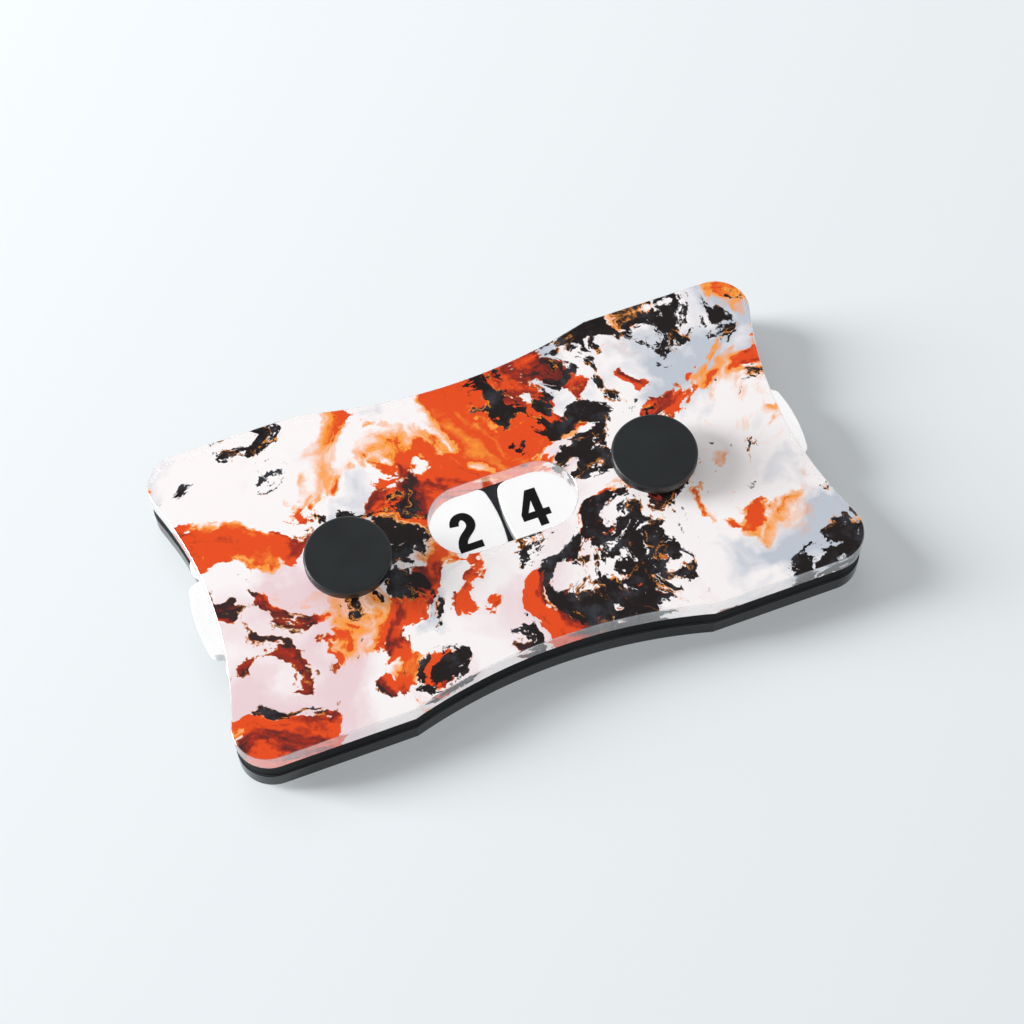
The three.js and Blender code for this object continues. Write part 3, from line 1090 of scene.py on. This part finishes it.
class COUNTER_OT_stage(PieceOperator, bpy.types.Operator):
    """Set up the camera, the floor, the lamps and the light from all round"""

    bl_idname = "counter.stage"
    bl_label = "Camera, floor and light"

    CAMERA_AT = Vector((-51.66, -151.05, 297.94)) * MM
    CAMERA_AIM = Vector((2.56, 3.43, 1.5)) * MM
    SENSOR_MM = 36
    CLIP_NEAR = 0.01
    CLIP_FAR = 100
    FLOOR_REACH = 3.0

    def execute(self, context):
        stage = self.look.stage
        self.camera(stage)
        self.floor(stage)
        self.lamp(
            "key_lamp",
            stage.key_power,
            (stage.key_width, stage.key_height),
            stage.key_heading,
            stage.key_rise,
            stage.key_turn,
        )
        rear = self.lamp(
            "rear_lamp",
            stage.rear_power,
            (stage.rear_width, stage.rear_width),
            stage.rear_heading,
            stage.rear_rise,
        )
        # Its mirror image would lie as a haze over the face
        rear.visible_glossy = False
        self.world(stage)
        context.scene.view_settings.view_transform = "Standard"
        return {"FINISHED"}

    def camera(self, stage):
        data = bpy.data.cameras.new("camera")
        data.lens = stage.lens
        data.sensor_width = self.SENSOR_MM
        data.clip_start = self.CLIP_NEAR
        data.clip_end = self.CLIP_FAR
        camera = new_object("camera", data)
        view = (self.CAMERA_AIM - self.CAMERA_AT).to_track_quat("-Z", "Y")
        camera.rotation_mode = "QUATERNION"
        camera.rotation_quaternion = view @ Quaternion((0, 0, 1), stage.roll)
        camera.location = self.CAMERA_AT
        bpy.context.scene.camera = camera

    def floor(self, stage):
        """A plain floor that fades into the backdrop well outside the camera's view."""
        finish = Finish("pale_floor", Specular_IOR_Level=0, Emission_Strength=1)
        place = finish.place()
        cloud = finish.noise(place, scale=3)
        away = finish.add("ShaderNodeVectorMath", {"operation": "LENGTH"}, {0: place}, "Value")
        fade = away.between(stage.fade_start, stage.fade_end)
        finish.set(
            Base_Color=finish.mixed(fade, stage.floor_colour, BLACK),
            Emission_Color=finish.mixed(fade, BLACK, stage.far_colour),
            Roughness=0.75 + 0.1 * cloud,
        )
        mesh = bmesh.new()
        bmesh.ops.create_grid(mesh, x_segments=1, y_segments=1, size=self.FLOOR_REACH)
        data = mesh_data("floor", mesh)
        data.materials.append(finish.material)
        new_object("floor", data)

    def lamp(self, name, power, size, heading, rise, turn=0.0):
        """A soft lamp that stands at a heading and a rise from the counter and faces it, or
        is turned away from it about an upright axis."""
        data = bpy.data.lights.new(name, "AREA")
        data.shape = "RECTANGLE"
        data.size, data.size_y = size
        data.energy = power
        lamp = new_object(name, data)
        level = math.cos(rise)
        towards = Vector((level * math.cos(heading), level * math.sin(heading), math.sin(rise)))
        lamp.location = towards * self.look.stage.lamp_reach
        lamp.rotation_mode = "QUATERNION"
        facing = Matrix.Rotation(turn, 3, "Z") @ towards
        lamp.rotation_quaternion = facing.to_track_quat("Z", "Y")
        return lamp

    def world(self, stage):
        """Soft light, stronger from above, with a pale backdrop for what sees it directly.
        In gloss, the part of it overhead is a darker ceiling."""
        world = bpy.data.worlds.new("studio")
        world.use_nodes = True
        graph = Graph(world.node_tree)
        graph.tree.nodes.clear()
        camera, glossy, through = (
            graph.add("ShaderNodeLightPath", {}, {}, f"Is {ray} Ray")
            for ray in ("Camera", "Glossy", "Transmission")
        )
        heading = graph.add("ShaderNodeTexCoord", {}, {}, "Generated")
        rise = graph.add("ShaderNodeSeparateXYZ", {}, {"Vector": heading}, "Z")
        ceiling = glossy * rise.between(stage.ceiling_low, stage.ceiling_high)
        seen = graph.mixed(ceiling, stage.far_colour, stage.ceiling_colour)
        soft = graph.mixed(rise, stage.side_colour, WHITE)
        fill = graph.add("ShaderNodeBackground", {}, {"Color": soft, "Strength": stage.fill})
        backdrop = graph.add("ShaderNodeBackground", {}, {"Color": seen})
        factor = camera.most(glossy).most(through)
        mix = graph.add("ShaderNodeMixShader", {}, {0: factor, 1: fill, 2: backdrop})
        graph.add("ShaderNodeOutputWorld", {}, {"Surface": mix})
        bpy.context.scene.world = world


STEPS = (
    COUNTER_OT_stage,
    COUNTER_OT_face,
    COUNTER_OT_black_sheets,
    COUNTER_OT_dials,
    COUNTER_OT_rivets,
)


class COUNTER_PT_panel(bpy.types.Panel):
    """Lists the steps that build the counter"""

    bl_label = "Life counter"
    bl_idname = "COUNTER_PT_panel"
    bl_space_type = "VIEW_3D"
    bl_region_type = "UI"
    bl_category = "Counter"

    def draw(self, context):
        for step in STEPS:
            self.layout.operator(step.bl_idname)


CLASSES = (
    SheetSettings,
    PrintSettings,
    DialSettings,
    RivetSettings,
    StageSettings,
    CounterSettings,
    *STEPS,
    COUNTER_PT_panel,
)


def register():
    for item in CLASSES:
        bpy.utils.register_class(item)
    bpy.types.Scene.life_counter = PointerProperty(type=CounterSettings)


def unregister():
    del bpy.types.Scene.life_counter
    for item in reversed(CLASSES):
        bpy.utils.unregister_class(item)


def main():
    register()
    bpy.ops.counter.stage()
    bpy.ops.counter.face()
    bpy.ops.counter.black_sheets()
    bpy.ops.counter.dials()
    bpy.ops.counter.rivets()


if __name__ == "__main__":
    main()
